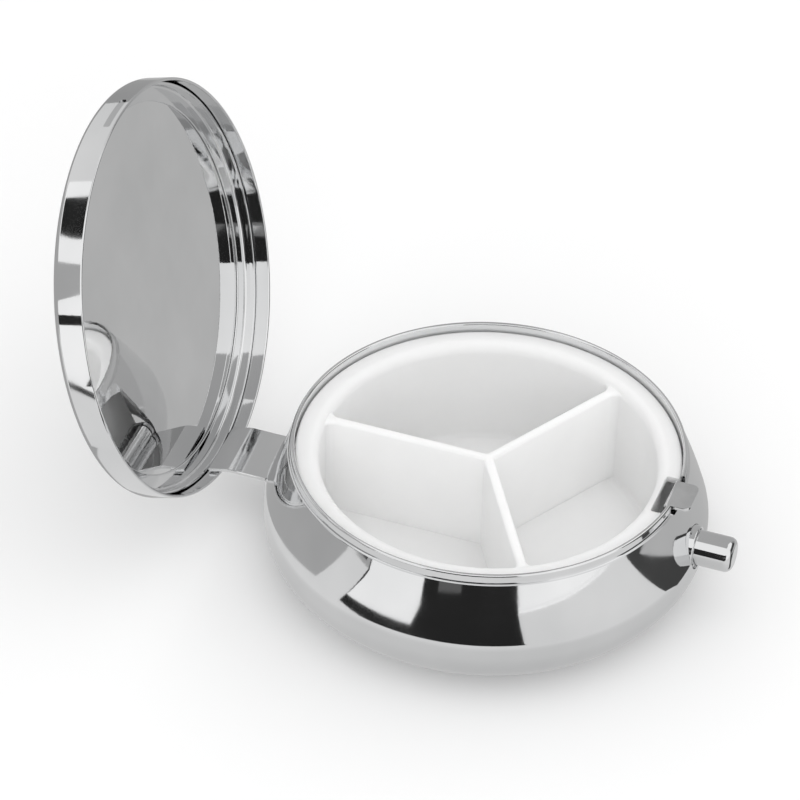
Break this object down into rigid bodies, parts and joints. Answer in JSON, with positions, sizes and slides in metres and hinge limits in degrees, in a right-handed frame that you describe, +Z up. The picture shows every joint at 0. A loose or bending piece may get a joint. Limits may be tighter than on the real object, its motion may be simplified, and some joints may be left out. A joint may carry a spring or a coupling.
{
  "type": "pill box",
  "caption": "Round metal pill box with a bulging base, a plastic tray of compartments, a shallow hinged lid and a push-button latch.",
  "frame": {"origin": "centre of the base's flat underside", "axes": "+Z up, -Y towards the push button, +Y towards the hinge, +X along the hinge pin; the lid is stored standing open"},
  "size_m": [0.05, 0.0761, 0.05],
  "materials": {
    "chrome_shell": "bright chrome plate",
    "tray_plastic": "smooth moulded white plastic",
    "plain_steel": "plain bright steel sheet",
    "lid_mirror": "polished grey metal"
  },
  "bodies": {
    "base": {"base_shell": "chrome_shell", "insert_tray": "tray_plastic", "hinge_bracket": "plain_steel", "hinge_pin": "plain_steel", "button_sleeve": "chrome_shell", "latch_spring": "plain_steel"},
    "latch": {"push_button": "chrome_shell", "latch_hook": "plain_steel"},
    "lid": {"lid_shell": "chrome_shell", "lid_plate": "lid_mirror", "lid_ring": "chrome_shell", "hinge_strap": "chrome_shell"}
  },
  "joints": [
    {"name": "lid_hinge", "type": "hinge", "parent": "base", "child": "lid", "pos_m": [0, 0.02346, 0.007], "axis": [1, 0, 0], "range_deg": [0, 106.4]},
    {"name": "button_press", "type": "slide", "parent": "base", "child": "latch", "axis": [0, 1, 0], "range_m": [0, 0.0011], "stiffness_N_per_m": 2500, "springref_m": -0.0003, "deforming": ["latch_spring"]}
  ]
}
